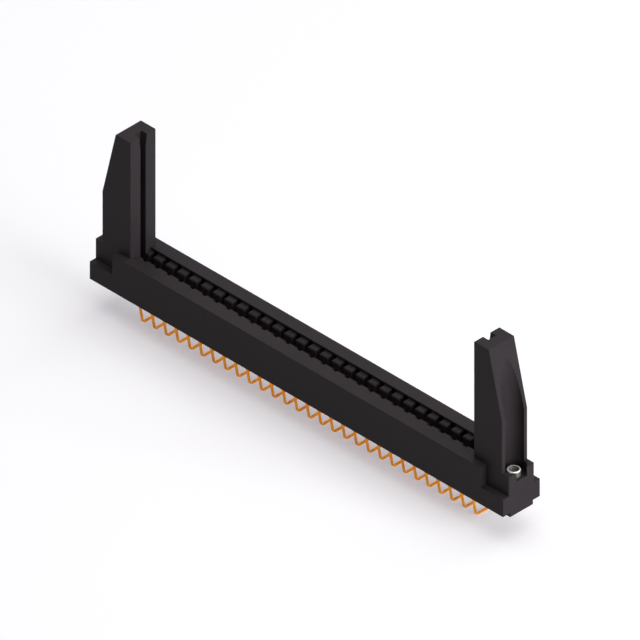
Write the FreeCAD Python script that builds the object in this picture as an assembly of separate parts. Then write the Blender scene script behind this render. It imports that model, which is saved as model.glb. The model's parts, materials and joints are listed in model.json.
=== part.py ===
"""Dual-row card edge connector with moulded card guides and screw inserts at its ends.

Units are millimetres. X runs along the card slot, -Y is the front long side, +Z is
the way the card is pulled out. The origin is midway between the undersides of the two feet.
Every solid is written in place, one STEP file for each node.
"""
import FreeCAD, Part
import math
import os

V = FreeCAD.Vector

# contact field and strip
pitch = 3.96
positions = 29
row_half = 3.0
stock = 0.36
beam_width = 1.1
stem_width = 0.9
tail_width = 0.6
field_half = pitch * (positions - 1) / 2.0

# insulator, across the slot
card_slot_half = 0.9
pocket_back = 0.45
wall_back = 2.75
mouth_lip = 0.4
foot_lip = 0.8
pocket_half_y = row_half + pocket_back
body_half_y = pocket_half_y + wall_back
mouth_half_y = row_half - mouth_lip
foot_half_y = row_half + foot_lip

# insulator, heights
foot_h = 1.2
slot_floor = 2.8
ear_top = 6.1
wall_top = 11.7
rib_drop = 0.85
pocket_drop = 0.5
rib_top = wall_top - rib_drop
pocket_top = wall_top - pocket_drop

# pockets and the ribs between them
beam_gap = 0.15
rib_lead = 0.3
rib_round = 0.15
stem_clear = 0.02
pocket_half_x = beam_width / 2.0 + beam_gap

# screw well and threaded insert
well_r = 3.15
well_depth = 2.55
insert_bore_r = 1.1
insert_wall = 0.62
insert_fit = 0.02
insert_length = 6.4
insert_proud = 1.65
insert_lead = 0.2
screw_gap = 0.35
well_floor = wall_top - well_depth
insert_r = insert_bore_r + insert_wall
insert_base_z = well_floor + insert_proud - insert_length
screw_way_r = insert_bore_r + screw_gap

# card guides
guide_top_z = 45.0
guide_taper_h = 18.5
guide_lip = 1.1
guide_edge = 0.1
card_groove_half = 0.875
card_groove_depth = 1.9
groove_flare = 0.425
groove_flare_h = 3.2
guide_bend_z = guide_top_z - guide_taper_h
guide_half_y = well_r + guide_lip

# places along the slot, outwards from the last contact
end_rib = 1.01
guide_depth = 9.35
wall_lap = 4.05
insert_inset = 0.35
well_break = 0.5
tip_gap = 0.9
ear_corner = 0.2
boss_edge = 0.3
guide_in_x = field_half + pocket_half_x + end_rib
guide_out_x = guide_in_x + guide_depth
wall_half_x = guide_in_x + wall_lap
mount_half_x = guide_out_x - insert_inset
ear_half_x = mount_half_x + well_r - well_break
guide_tip_x = mount_half_x - well_r - tip_gap

# spring of a contact
nose_gap_half = 0.5
root_rise = 0.6
nose_rise = 2.9
nose_flat_half = 0.4
tip_rise = 1.6
tip_back = 0.5

# tails, bent to the back of the connector
upper_run_drop = 1.79
row_step = 5.08
tail_past = 3.2
leg_lean = 1.2
shoulder_drop = 0.6
bend_r = 0.9
bend_steps = 3

# overlap of fused blocks and of cuts past a face
lap = 1.0
skin = 0.01


def box(x0, x1, y0, y1, z0, z1):
    return Part.makeBox(x1 - x0, y1 - y0, z1 - z0, V(x0, y0, z0))


def prism_xz(points, y0, y1):
    wire = Part.makePolygon([V(x, y0, z) for x, z in points + points[:1]])
    return Part.Face(wire).extrude(V(0, y1 - y0, 0))


def prism_yz(points, x0, x1):
    wire = Part.makePolygon([V(x0, y, z) for y, z in points + points[:1]])
    return Part.Face(wire).extrude(V(x1 - x0, 0, 0))


def both_ends(shape):
    """The shape and its mirror image at the other end of the connector."""
    return [shape, shape.mirror(V(0, 0, 0), V(1, 0, 0))]


def round_edges(solid, radius, wanted):
    edges = [e for e in solid.Edges if wanted(e)]
    return solid.makeFillet(radius, edges)


def break_edges(solid, width, wanted):
    edges = [e for e in solid.Edges if wanted(e)]
    return solid.makeChamfer(width, edges)


def is_vertical(edge):
    first, last = edge.Vertexes[0].Point, edge.Vertexes[-1].Point
    return abs(first.x - last.x) < 1e-6 and abs(first.y - last.y) < 1e-6


def above(level):
    """True for edges that do not lie in the plane at or under the level."""
    def test(edge):
        return max(v.Point.z for v in edge.Vertexes) > level + 1e-6
    return test


def outer_vertical(x_limit):
    def test(edge):
        return is_vertical(edge) and edge.Vertexes[0].Point.x > x_limit
    return test


def one(shape):
    """Return the single valid solid that a boolean result must hold."""
    solids = shape.removeSplitter().Solids
    assert len(solids) == 1 and solids[0].isValid(), "one valid solid expected"
    return solids[0]


def position_x(index):
    return -field_half + index * pitch


def guide_block():
    """One tall card guide: upright inner face, outer face that leans in to the tip."""
    outline = [
        (guide_in_x, foot_h),
        (guide_in_x, guide_top_z),
        (guide_tip_x, guide_top_z),
        (guide_out_x, guide_bend_z),
        (guide_out_x, foot_h),
    ]
    block = prism_xz(outline, -guide_half_y, guide_half_y)
    return break_edges(block, guide_edge, above(foot_h))


def boss_block():
    """Screw boss at the foot of the guide, as high as the long walls."""
    block = box(guide_in_x + lap, ear_half_x, -guide_half_y, guide_half_y, foot_h, wall_top)
    return round_edges(block, boss_edge, outer_vertical(guide_out_x))


def ear_block():
    block = box(wall_half_x - lap, ear_half_x, -body_half_y, body_half_y, foot_h, ear_top)
    return round_edges(block, ear_corner, outer_vertical(wall_half_x))


def foot_block():
    """Foot under one ear, which keeps the base clear of what the ears stand on."""
    return box(guide_in_x, ear_half_x, -foot_half_y, foot_half_y, 0.0, foot_h + lap)


def groove_cuts():
    """Card groove in the guide's inner face, from the slot's floor to a flared top."""
    floor_x = guide_in_x + card_groove_depth
    flare_half = card_groove_half + groove_flare
    flare = [
        (-card_groove_half, guide_top_z - groove_flare_h),
        (card_groove_half, guide_top_z - groove_flare_h),
        (flare_half, guide_top_z + skin),
        (-flare_half, guide_top_z + skin),
    ]
    groove = box(guide_in_x - lap, floor_x, -card_groove_half, card_groove_half,
                 slot_floor, guide_top_z + lap)
    return [groove, prism_yz(flare, guide_in_x - lap, floor_x)]


def screw_cuts():
    """Half-round screw channel up the guide, insert hole and the screw's way below it."""
    def upright(radius, z0, z1):
        return Part.makeCylinder(radius, z1 - z0, V(mount_half_x, 0, z0))
    return [
        upright(well_r, well_floor, guide_top_z + lap),
        upright(insert_r + insert_fit, insert_base_z, well_floor + lap),
        upright(screw_way_r, -lap, insert_base_z + lap),
    ]


def mouth_cut():
    """Wide mouth over the ribs, down to their tops, between the two guides."""
    return box(-guide_in_x, guide_in_x, -mouth_half_y, mouth_half_y, rib_top, wall_top + lap)


def card_slot_cut():
    """Slot for the card's edge, with sloping lead-in flanks on the ribs."""
    top_half = card_slot_half + rib_lead
    outline = [
        (-card_slot_half, slot_floor),
        (card_slot_half, slot_floor),
        (card_slot_half, rib_top - rib_lead),
        (top_half, rib_top + skin),
        (-top_half, rib_top + skin),
        (-card_slot_half, rib_top - rib_lead),
    ]
    return prism_yz(outline, -guide_in_x, guide_in_x)


def pocket_cut(x):
    """Pocket across both walls at one position, widened at the tops of the ribs."""
    reach = pocket_half_x + rib_round
    outline = [
        (x - pocket_half_x, slot_floor),
        (x + pocket_half_x, slot_floor),
        (x + pocket_half_x, rib_top - rib_round),
        (x + reach, rib_top + skin),
        (x - reach, rib_top + skin),
        (x - pocket_half_x, rib_top - rib_round),
    ]
    opening = prism_xz(outline, -mouth_half_y, mouth_half_y)
    recess = box(x - pocket_half_x, x + pocket_half_x, -pocket_half_y, pocket_half_y,
                 slot_floor, pocket_top)
    return opening.fuse(recess)


def stem_hole(x, side):
    half = stock / 2.0 + stem_clear
    return box(x - stem_width / 2.0, x + stem_width / 2.0, side * row_half - half,
               side * row_half + half, -lap, slot_floor + lap)


def housing():
    """The insulator: walls, ears, feet, guides and bosses moulded as one piece."""
    solid = box(-wall_half_x, wall_half_x, -body_half_y, body_half_y, foot_h, wall_top)
    blocks = []
    for block in (guide_block(), boss_block(), ear_block(), foot_block()):
        blocks.extend(both_ends(block))
    solid = one(solid.fuse(blocks))
    cuts = [mouth_cut(), card_slot_cut()]
    for cut in groove_cuts() + screw_cuts():
        cuts.extend(both_ends(cut))
    for index in range(positions):
        x = position_x(index)
        cuts.append(pocket_cut(x))
        cuts.append(stem_hole(x, -1))
        cuts.append(stem_hole(x, 1))
    return one(solid.cut(cuts))


def arc_points(corner, before, after, radius, steps):
    """Points of a rounded corner between two straight legs of a centre line."""
    a = (V(*before) - V(*corner)).normalize()
    b = (V(*after) - V(*corner)).normalize()
    half = a.getAngle(b) / 2.0
    reach = radius / math.tan(half)
    centre = V(*corner) + (a + b).normalize() * (radius / math.sin(half))
    start = V(*corner) + a * reach - centre
    end = V(*corner) + b * reach - centre
    sweep = start.getAngle(end)
    points = []
    for k in range(steps + 1):
        t = k / float(steps)
        p = start * (math.sin((1 - t) * sweep) / math.sin(sweep))
        p = p + end * (math.sin(t * sweep) / math.sin(sweep)) + centre
        points.append((p.x, p.y))
    return points


def strip(path, thickness):
    """Closed outline of a strip of even thickness round a centre line in Y and Z."""
    left, right = [], []
    for k, (y, z) in enumerate(path):
        ahead = path[min(k + 1, len(path) - 1)]
        behind = path[max(k - 1, 0)]
        d_in = V(y - behind[0], z - behind[1], 0)
        d_out = V(ahead[0] - y, ahead[1] - z, 0)
        d_in = d_in.normalize() if d_in.Length > 0 else V(d_out).normalize()
        d_out = d_out.normalize() if d_out.Length > 0 else d_in
        bisector = (d_in + d_out).normalize()
        normal = V(-bisector.y, bisector.x, 0)
        spread = thickness / 2.0 / max(0.5, normal.dot(V(-d_in.y, d_in.x, 0)))
        left.append((y + normal.x * spread, z + normal.y * spread))
        right.append((y - normal.x * spread, z - normal.y * spread))
    return left + right[::-1]


def spring_path(side):
    """Centre line of the spring from the base of the pocket over the nose to the tip."""
    nose_q = nose_gap_half + stock / 2.0
    nose_z = slot_floor + nose_rise
    qz = [
        (row_half, slot_floor),
        (row_half, slot_floor + root_rise),
        (nose_q, nose_z - nose_flat_half),
        (nose_q, nose_z + nose_flat_half),
        (row_half - tip_back, nose_z + tip_rise),
    ]
    return [(side * q, z) for q, z in qz]


def tail_path(side):
    """Centre line of a tail from its end behind the connector to the base."""
    start = (side * row_half, 0.0)
    if side < 0:
        run_z, corner_y = -upper_run_drop - row_step, leg_lean - row_half
        upper = [(side * row_half, -shoulder_drop), start]
    else:
        run_z, corner_y = -upper_run_drop, row_half
        upper = [start]
    end = (body_half_y + tail_past, run_z)
    bend = arc_points((corner_y, run_z), end, upper[0], bend_r, bend_steps)
    return [end] + bend + upper


def contact(x, side):
    """One formed contact: spring in the pocket, stem in the base, tail below."""
    spring = prism_yz(strip(spring_path(side), stock), x - beam_width / 2.0, x + beam_width / 2.0)
    stem = box(x - stem_width / 2.0, x + stem_width / 2.0, side * row_half - stock / 2.0,
               side * row_half + stock / 2.0, 0.0, slot_floor)
    tail = prism_yz(strip(tail_path(side), stock), x - tail_width / 2.0, x + tail_width / 2.0)
    return one(spring.fuse([stem, tail]))


def threaded_insert():
    """Plain-bored sleeve that stands proud of the floor of the screw well."""
    base = V(mount_half_x, 0, insert_base_z)
    sleeve = Part.makeCylinder(insert_r, insert_length, base)
    top = insert_base_z + insert_length
    rims = [e for e in sleeve.Edges if abs(e.BoundBox.ZMin - top) < 1e-6 and e.Closed]
    sleeve = sleeve.makeChamfer(insert_lead, rims)
    return one(sleeve.cut(Part.makeCylinder(insert_bore_r, insert_length, base)))


def export(name, shape):
    shape.exportStep("parts/" + name + ".step")
    print(name, len(shape.Solids), "solid", round(shape.Volume, 2), "mm3")


os.makedirs("parts", exist_ok=True)
export("housing", housing())
right_insert, left_insert = both_ends(threaded_insert())
export("insert_left", left_insert)
export("insert_right", right_insert)
for number in range(positions):
    pair = [contact(position_x(number), side) for side in (-1, 1)]
    export("contact_pair_%02d" % (number + 1), Part.makeCompound(pair))
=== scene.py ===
"""Looks of the edge connector: materials, a pale floor, soft light and the photograph's camera."""
import json
import math

import bpy
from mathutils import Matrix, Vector


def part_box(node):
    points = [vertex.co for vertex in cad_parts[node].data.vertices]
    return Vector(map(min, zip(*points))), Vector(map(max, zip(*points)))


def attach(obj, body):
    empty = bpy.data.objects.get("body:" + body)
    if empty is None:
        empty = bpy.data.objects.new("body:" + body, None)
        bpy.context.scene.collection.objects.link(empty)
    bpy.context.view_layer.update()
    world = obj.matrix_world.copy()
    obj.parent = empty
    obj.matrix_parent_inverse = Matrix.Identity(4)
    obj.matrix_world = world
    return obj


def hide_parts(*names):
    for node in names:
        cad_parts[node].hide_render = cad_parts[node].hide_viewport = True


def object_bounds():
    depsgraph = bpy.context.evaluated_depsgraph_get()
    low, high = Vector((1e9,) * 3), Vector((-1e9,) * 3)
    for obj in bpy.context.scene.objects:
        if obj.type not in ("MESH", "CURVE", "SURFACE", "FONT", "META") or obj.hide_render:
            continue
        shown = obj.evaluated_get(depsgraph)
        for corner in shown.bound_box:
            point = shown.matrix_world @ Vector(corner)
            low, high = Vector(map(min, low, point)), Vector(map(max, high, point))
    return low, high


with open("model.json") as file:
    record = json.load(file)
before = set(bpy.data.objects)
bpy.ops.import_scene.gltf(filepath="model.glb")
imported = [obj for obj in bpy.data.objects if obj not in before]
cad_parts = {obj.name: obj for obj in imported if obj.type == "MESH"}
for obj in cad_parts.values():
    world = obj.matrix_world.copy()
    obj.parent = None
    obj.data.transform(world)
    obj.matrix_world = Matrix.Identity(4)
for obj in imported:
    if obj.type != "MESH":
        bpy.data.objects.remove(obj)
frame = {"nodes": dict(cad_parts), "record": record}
cad_low, cad_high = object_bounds()

# Lengths are in metres, so a size in millimetres is its number times MM.
MM = 0.001

# The photograph is a parallel view at isometric angles.
IMAGE_SIDE = 640.0
PIXELS_PER_MM = 4.25
VIEW_DIRECTION = Vector((1.0, -1.0, 1.0)).normalized()
VIEW_TARGET = Vector((0.865, 0.865, 20.55)) * MM
CAMERA_DISTANCE = 0.6
CAMERA_NEAR = 0.01
CAMERA_FAR = 10.0

# The floor's glow is only seen, and its bounce is the colour in which it lights the part.
FLOOR_SIDE = 4.0
FLOOR_GAP = 0.02 * MM
FLOOR_COLOUR = (0.75, 0.75, 0.75, 1.0)
FLOOR_GLOW = 0.38
GLOW_COLOUR = (0.96, 0.93, 1.0, 1.0)
FLOOR_BOUNCE = (0.45, 0.45, 0.45, 1.0)
WHITE = (1.0, 1.0, 1.0, 1.0)
SKY_SEEN = 1.0
SKY_LIGHT = 0.08

# Name, place, side and power in watts of each square lamp. All point at the origin.
LAMPS = (
    ("top_light", (0.05, 0.08, 0.75), 0.9, 4.0),
    ("right_light", (0.80, 0.08, 0.22), 0.5, 6.4),
    ("left_light", (-0.70, 0.05, 0.30), 0.5, 1.0),
    ("back_light", (0.10, 0.60, 0.32), 0.5, 0.6),
)

# Scales of noise are in cells to the metre.
GRAIN_DETAIL = 2.0
COLOUR_SPAN = (0.35, 0.65)
ROUGH_SPAN = (0.3, 0.7)
EDGE_RAYS = 6

PLASTIC_DARK = (0.0300, 0.0250, 0.0280, 1.0)
PLASTIC_PALE = (0.0350, 0.0290, 0.0325, 1.0)
PLASTIC_SPECK = (0.052, 0.046, 0.050, 1.0)
PLASTIC_SPECK_SPAN = (0.62, 0.72)
PLASTIC_SPECK_SHARE = 0.35
PLASTIC_ROUGH = (0.44, 0.54)
PLASTIC_GLOSS = 0.06
PLASTIC_FLOW = 90.0
PLASTIC_FLOW_DETAIL = 4.0
PLASTIC_GRAIN = 2600.0
PLASTIC_GRAIN_DEPTH = 0.02 * MM
PLASTIC_BUMP = 0.12
PLASTIC_EDGE = 0.16 * MM

PLATE_CLOUD_DETAIL = 3.0
PLATE_GRAIN_DEPTH = 0.01 * MM

GOLD_PALE = (0.88, 0.37, 0.022, 1.0)
GOLD_DARK = (0.72, 0.27, 0.012, 1.0)
GOLD_ROUGH = (0.42, 0.52)
GOLD_CLOUDS = 420.0
GOLD_GRAIN = 5200.0
GOLD_BUMP = 0.15
GOLD_EDGE = 0.06 * MM

NICKEL_PALE = (0.84, 0.82, 0.79, 1.0)
NICKEL_DARK = (0.76, 0.74, 0.70, 1.0)
NICKEL_ROUGH = (0.60, 0.70)
NICKEL_CLOUDS = 700.0
NICKEL_GRAIN = 6000.0
NICKEL_BUMP = 0.12
NICKEL_EDGE = 0.08 * MM

# The thread and the outer wall of a sleeve are painted darker than its rim: painted shade in the
# bore and on the outer wall.
PAINTED_SHADE_PALE = (0.24, 0.23, 0.21, 1.0)
PAINTED_SHADE_DARK = (0.14, 0.13, 0.12, 1.0)

# Threaded sleeve. Its outer size and place come from the plain insert that it replaces.
SLEEVE_LEAD = 0.2 * MM
THREAD_MINOR_R = 1.1 * MM
THREAD_MAJOR_R = 1.4 * MM
THREAD_PITCH = 0.635 * MM
THREAD_FLAT = 0.1
MOUTH_R = 1.2 * MM
SLEEVE_SIDES = 64
STEPS_PER_TURN = 10
SHARP_ANGLE = math.radians(32.0)


def place_object(name, data):
    item = bpy.data.objects.new(name, data)
    bpy.context.scene.collection.objects.link(item)
    return item


def turn_towards(direction):
    """Turn that points an object's -Z along the direction, with its +Y up."""
    return direction.to_track_quat("-Z", "Y").to_euler()


def add_camera():
    """Parallel camera at the angle and scale of the photograph."""
    data = bpy.data.cameras.new("camera")
    data.type = "ORTHO"
    data.ortho_scale = IMAGE_SIDE / PIXELS_PER_MM * MM
    data.clip_start = CAMERA_NEAR
    data.clip_end = CAMERA_FAR
    camera = place_object("camera", data)
    camera.location = VIEW_TARGET + VIEW_DIRECTION * CAMERA_DISTANCE
    camera.rotation_euler = turn_towards(-VIEW_DIRECTION)
    bpy.context.scene.camera = camera


class Nodes:
    """A node tree, with short calls to add and join its nodes."""

    def __init__(self, tree, output):
        self.tree = tree
        self.tree.nodes.clear()
        self.output = self.add(output)

    def add(self, kind, **values):
        """New node. Each value goes to the input of that name, or else to the property."""
        node = self.tree.nodes.new(kind)
        for key, value in values.items():
            if key in node.inputs:
                node.inputs[key].default_value = value
            else:
                setattr(node, key, value)
        return node

    def join(self, source, target):
        self.tree.links.new(source, target)

    def finish(self, shader):
        self.join(shader, self.output.inputs["Surface"])

    def noise(self, place, scale, detail):
        node = self.add("ShaderNodeTexNoise", Scale=scale, Detail=detail)
        self.join(place, node.inputs["Vector"])
        return node.outputs["Fac"]

    def span(self, value, reach, result):
        """The value, with the two ends of reach mapped to the two ends of result."""
        node = self.add("ShaderNodeMapRange")
        self.join(value, node.inputs["Value"])
        for key, limit in zip(("From Min", "From Max", "To Min", "To Max"), reach + result):
            node.inputs[key].default_value = limit
        return node.outputs["Result"]

    def blend(self, share, first, second):
        """Colour that goes from first to second as share goes from 0 to 1."""
        node = self.add("ShaderNodeMix", data_type="RGBA")
        self.join(share, node.inputs["Factor"])
        for socket, colour in ((node.inputs[6], first), (node.inputs[7], second)):
            if isinstance(colour, tuple):
                socket.default_value = colour
            else:
                self.join(colour, socket)
        return node.outputs[2]

    def seen_or_lit(self, seen, lit):
        """One shader for what the camera, metal and glass see, another for the light it gives."""
        rays = self.add("ShaderNodeLightPath")
        share = rays.outputs["Is Camera Ray"]
        for kind in ("Is Glossy Ray", "Is Transmission Ray"):
            either = self.add("ShaderNodeMath", operation="MAXIMUM")
            self.join(share, either.inputs[0])
            self.join(rays.outputs[kind], either.inputs[1])
            share = either.outputs["Value"]
        mix = self.add("ShaderNodeMixShader")
        self.join(share, mix.inputs["Fac"])
        self.join(lit, mix.inputs[1])
        self.join(seen, mix.inputs[2])
        return mix.outputs["Shader"]

    def grained_edge(self, height, strength, depth, radius):
        """Normal with fine bumps, which also rounds hard edges for the light alone."""
        edge = self.add("ShaderNodeBevel", Radius=radius, samples=EDGE_RAYS)
        node = self.add("ShaderNodeBump", Strength=strength, Distance=depth)
        self.join(height, node.inputs["Height"])
        self.join(edge.outputs["Normal"], node.inputs["Normal"])
        return node.outputs["Normal"]


def new_material(name):
    """Material with an empty node tree, and the tree's short calls."""
    material = bpy.data.materials.new(name)
    material.use_nodes = True
    return material, Nodes(material.node_tree, "ShaderNodeOutputMaterial")


def moulded_plastic():
    """Black thermoplastic with a fine matte skin, faint flow marks and pale specks."""
    material, n = new_material("black_plastic")
    place = n.add("ShaderNodeTexCoord").outputs["Object"]
    shader = n.add("ShaderNodeBsdfPrincipled")
    shader.inputs["Specular IOR Level"].default_value = PLASTIC_GLOSS
    flow = n.noise(place, PLASTIC_FLOW, PLASTIC_FLOW_DETAIL)
    grain = n.noise(place, PLASTIC_GRAIN, GRAIN_DETAIL)
    colour = n.blend(n.span(flow, COLOUR_SPAN, (0.0, 1.0)), PLASTIC_DARK, PLASTIC_PALE)
    specks = n.span(grain, PLASTIC_SPECK_SPAN, (0.0, PLASTIC_SPECK_SHARE))
    n.join(n.blend(specks, colour, PLASTIC_SPECK), shader.inputs["Base Color"])
    n.join(n.span(flow, ROUGH_SPAN, PLASTIC_ROUGH), shader.inputs["Roughness"])
    n.join(n.grained_edge(grain, PLASTIC_BUMP, PLASTIC_GRAIN_DEPTH, PLASTIC_EDGE),
           shader.inputs["Normal"])
    n.finish(shader.outputs["BSDF"])
    return material


def plated_metal(name, colours, rough, cloud_scale, grain_scale, bump, edge):
    """Satin plated metal with a fine grain and a slightly uneven plate."""
    material, n = new_material(name)
    place = n.add("ShaderNodeTexCoord").outputs["Object"]
    shader = n.add("ShaderNodeBsdfPrincipled", Metallic=1.0)
    clouds = n.noise(place, cloud_scale, PLATE_CLOUD_DETAIL)
    grain = n.noise(place, grain_scale, GRAIN_DETAIL)
    n.join(n.blend(n.span(clouds, COLOUR_SPAN, (0.0, 1.0)), *colours),
           shader.inputs["Base Color"])
    n.join(n.span(clouds, ROUGH_SPAN, rough), shader.inputs["Roughness"])
    n.join(n.grained_edge(grain, bump, PLATE_GRAIN_DEPTH, edge), shader.inputs["Normal"])
    n.finish(shader.outputs["BSDF"])
    return material


def gold_plate():
    return plated_metal("gold_plate", (GOLD_PALE, GOLD_DARK), GOLD_ROUGH,
                        GOLD_CLOUDS, GOLD_GRAIN, GOLD_BUMP, GOLD_EDGE)


def nickel_plate(name, pale, dark):
    return plated_metal(name, (pale, dark), NICKEL_ROUGH,
                        NICKEL_CLOUDS, NICKEL_GRAIN, NICKEL_BUMP, NICKEL_EDGE)


def dress_nodes():
    """Give every node its material and slot, and both inserts a threaded sleeve."""
    looks = {
        "black_polyester": moulded_plastic(),
        "gold_plate": gold_plate(),
        "nickel_plate": nickel_plate("nickel_plate", NICKEL_PALE, NICKEL_DARK),
    }
    slots = {s["node"]: s["material_slot"] for s in frame["record"]["subparts"]}
    for name, node in frame["nodes"].items():
        node.data.materials.clear()
        node.data.materials.append(looks[slots[name]])
    # A darker copy of the nickel for the thread and outer wall, which is painted shade.
    painted_shade = nickel_plate("painted_shade_nickel", PAINTED_SHADE_PALE, PAINTED_SHADE_DARK)
    for side in ("left", "right"):
        add_sleeve("threaded_sleeve_" + side, "insert_" + side, looks["nickel_plate"], painted_shade)


def thread_rings(base_z, top_z):
    """Rings up the bore, each a height and a radius for every side, with a dished mouth."""
    steps = round((top_z - base_z) / THREAD_PITCH * STEPS_PER_TURN)
    rings = []
    for step in range(steps + 1):
        rise = (top_z - base_z) * step / steps
        mouth = MOUTH_R - (top_z - base_z - rise)
        radii = []
        for side in range(SLEEVE_SIDES):
            phase = rise / THREAD_PITCH - side / SLEEVE_SIDES
            wave = abs(2.0 * (phase % 1.0) - 1.0)
            groove = (wave - THREAD_FLAT) / (1.0 - 2.0 * THREAD_FLAT)
            depth = (THREAD_MAJOR_R - THREAD_MINOR_R) * min(1.0, max(0.0, groove))
            radii.append(max(THREAD_MINOR_R + depth, mouth))
        rings.append((base_z + rise, radii))
    return rings


def outside_rings(base_z, top_z, outer_r):
    """Rings from the rim over the lead and down the outside."""
    profile = ((top_z, outer_r - SLEEVE_LEAD), (top_z - SLEEVE_LEAD, outer_r), (base_z, outer_r))
    return [(z, [radius] * SLEEVE_SIDES) for z, radius in profile]


def add_sleeve(name, node, bright, painted_shade):
    """Sleeve with a turned thread, in the place and size of the plain insert."""
    low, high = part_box(node)
    centre_x = (low.x + high.x) / 2.0
    bore = thread_rings(low.z, high.z)
    rings = bore + outside_rings(low.z, high.z, (high.x - low.x) / 2.0)
    points = []
    for z, radii in rings:
        for side, radius in enumerate(radii):
            turn = 2.0 * math.pi * side / SLEEVE_SIDES
            points.append((centre_x + radius * math.cos(turn), radius * math.sin(turn), z))
    faces = []
    for band in range(len(rings)):
        below = band * SLEEVE_SIDES
        above = (band + 1) % len(rings) * SLEEVE_SIDES
        for side in range(SLEEVE_SIDES):
            after = (side + 1) % SLEEVE_SIDES
            faces.append((below + side, above + side, above + after, below + after))
    mesh = bpy.data.meshes.new(name)
    mesh.from_pydata(points, [], faces)
    mesh.materials.append(bright)
    mesh.materials.append(painted_shade)
    thread_bands = len(bore) - 1
    wall_band = len(rings) - 2
    # The thread bands and the outer wall take the second material, a darker nickel that is painted
    # shade.
    for face in mesh.polygons:
        band = face.index // SLEEVE_SIDES
        face.material_index = int(band < thread_bands or band == wall_band)
    mesh.shade_smooth()
    mesh.set_sharp_from_angle(angle=SHARP_ANGLE)
    sleeve = place_object(name, mesh)
    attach(sleeve, "root")
    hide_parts(node)


def pale_floor():
    """Floor that keeps the shadow and is white to the camera."""
    material, n = new_material("floor")
    diffuse = n.add("ShaderNodeBsdfDiffuse", Color=FLOOR_COLOUR)
    glow = n.add("ShaderNodeEmission", Color=GLOW_COLOUR, Strength=FLOOR_GLOW)
    seen = n.add("ShaderNodeAddShader")
    n.join(diffuse.outputs["BSDF"], seen.inputs[0])
    n.join(glow.outputs["Emission"], seen.inputs[1])
    bounce = n.add("ShaderNodeBsdfDiffuse", Color=FLOOR_BOUNCE)
    n.finish(n.seen_or_lit(seen.outputs["Shader"], bounce.outputs["BSDF"]))
    return material


def add_floor():
    """Square floor just clear of the lowest tails."""
    half = FLOOR_SIDE / 2.0
    z = cad_low.z - FLOOR_GAP
    mesh = bpy.data.meshes.new("floor")
    corners = [(-half, -half, z), (half, -half, z), (half, half, z), (-half, half, z)]
    mesh.from_pydata(corners, [], [(0, 1, 2, 3)])
    mesh.materials.append(pale_floor())
    floor = place_object("floor", mesh)


def add_lamp(name, place, size, power):
    """Square lamp that points at the origin."""
    data = bpy.data.lights.new(name, "AREA")
    data.shape = "SQUARE"
    data.size = size
    data.energy = power
    lamp = place_object(name, data)
    lamp.location = place
    lamp.rotation_euler = turn_towards(-Vector(place))


def light_studio():
    """White surroundings that give little light, and the lamps."""
    world = bpy.data.worlds.new("world")
    world.use_nodes = True
    bpy.context.scene.world = world
    n = Nodes(world.node_tree, "ShaderNodeOutputWorld")
    seen = n.add("ShaderNodeBackground", Color=WHITE, Strength=SKY_SEEN)
    lit = n.add("ShaderNodeBackground", Color=WHITE, Strength=SKY_LIGHT)
    n.finish(n.seen_or_lit(seen.outputs["Background"], lit.outputs["Background"]))
    for lamp in LAMPS:
        add_lamp(*lamp)


bpy.context.scene.view_settings.view_transform = "Standard"
add_camera()
dress_nodes()
add_floor()
light_studio()
